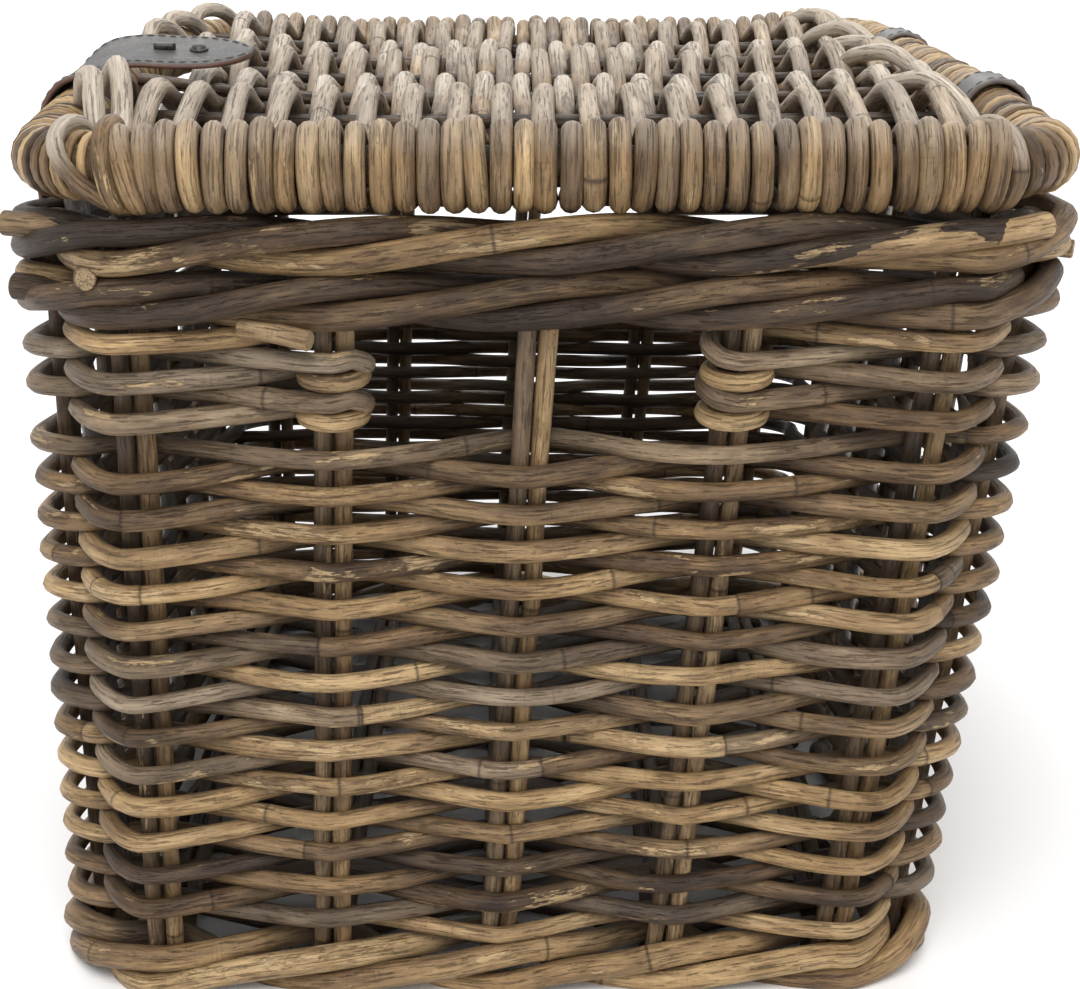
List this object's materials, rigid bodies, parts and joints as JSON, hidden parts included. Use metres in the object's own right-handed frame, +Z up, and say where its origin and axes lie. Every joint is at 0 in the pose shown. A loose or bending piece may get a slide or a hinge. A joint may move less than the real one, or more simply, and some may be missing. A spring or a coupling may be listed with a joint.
{
  "type": "bicycle basket",
  "caption": "Lidded rectangular basket of woven rattan for a bicycle carrier, with thick roped rim and foot, hand holes in the ends, leather hinges and a leather closing strap.",
  "frame": {"origin": "on the floor, under the middle of the outline", "axes": "+Z up, +X towards the hinge side, -X the strap side, +Y along the basket towards the far end"},
  "size_m": [0.3836, 0.46, 0.3388],
  "materials": {
    "cane": "weathered round rattan, satin",
    "border_cane": "thick rattan with bark, satin",
    "bleached_cane": "sun-bleached rattan, dry",
    "dark_cane": "dark weathered rattan, dry",
    "leather": "dark grey, worn edges, stitched",
    "dark_metal": "dark, domed heads"
  },
  "bodies": {
    "basket": {"rib_1": "cane", "rib_2": "cane", "rib_3": "cane", "rib_4": "cane", "rib_5": "cane", "side_stake_right_1": "cane", "side_stake_right_2": "cane", "side_stake_right_3": "cane", "side_stake_right_4": "cane", "side_stake_right_5": "cane", "side_stake_right_6": "cane", "side_stake_left_1": "cane", "side_stake_left_2": "cane", "side_stake_left_3": "cane", "side_stake_left_4": "cane", "side_stake_left_5": "cane", "side_stake_left_6": "cane", "base_weaver": "cane", "weaver_a1": "cane", "weaver_a2": "cane", "weaver_a3": "cane", "weaver_b1": "cane", "weaver_b2": "cane", "weaver_b3": "cane", "hole_weaver_right": "cane", "hole_weaver_left": "cane", "foot_wale_1": "border_cane", "foot_wale_2": "border_cane", "foot_wale_3": "border_cane", "upper_wale_1": "border_cane", "upper_wale_2": "border_cane", "upper_wale_3": "border_cane", "rim_wale_1": "border_cane", "rim_wale_2": "border_cane", "rim_wale_3": "border_cane", "hinge_leaf_near": "leather", "hinge_rivet_near": "dark_metal", "hinge_leaf_far": "leather", "hinge_rivet_far": "dark_metal", "catch_tab": "leather", "catch_post": "dark_metal"},
    "lid": {"lid_frame": "dark_cane", "lid_cross_rod_1": "dark_cane", "lid_cross_rod_2": "dark_cane", "lid_cross_rod_3": "dark_cane", "lid_cross_rod_4": "dark_cane", "lid_cross_rod_5": "dark_cane", "lid_cane_left": "bleached_cane", "lid_cane_right": "bleached_cane", "lid_binding_right": "dark_cane", "lid_binding_left": "dark_cane", "hinge_loop_near": "leather", "hinge_loop_far": "leather", "strap_top": "leather", "strap_stud": "dark_metal", "strap_bar": "leather"},
    "strap_tail": {"strap_tail": "leather", "tail_snap": "dark_metal"}
  },
  "joints": [
    {"name": "lid_hinge", "type": "hinge", "parent": "basket", "child": "lid", "pos_m": [0.19175, 0, 0.30124], "axis": [0, 1, 0], "range_deg": [0, 105]},
    {"name": "strap_tail_hinge", "type": "hinge", "parent": "lid", "child": "strap_tail", "pos_m": [-0.18911, -0.1085, 0.31049], "axis": [0, 1, 0], "range_deg": [0, 100]}
  ]
}
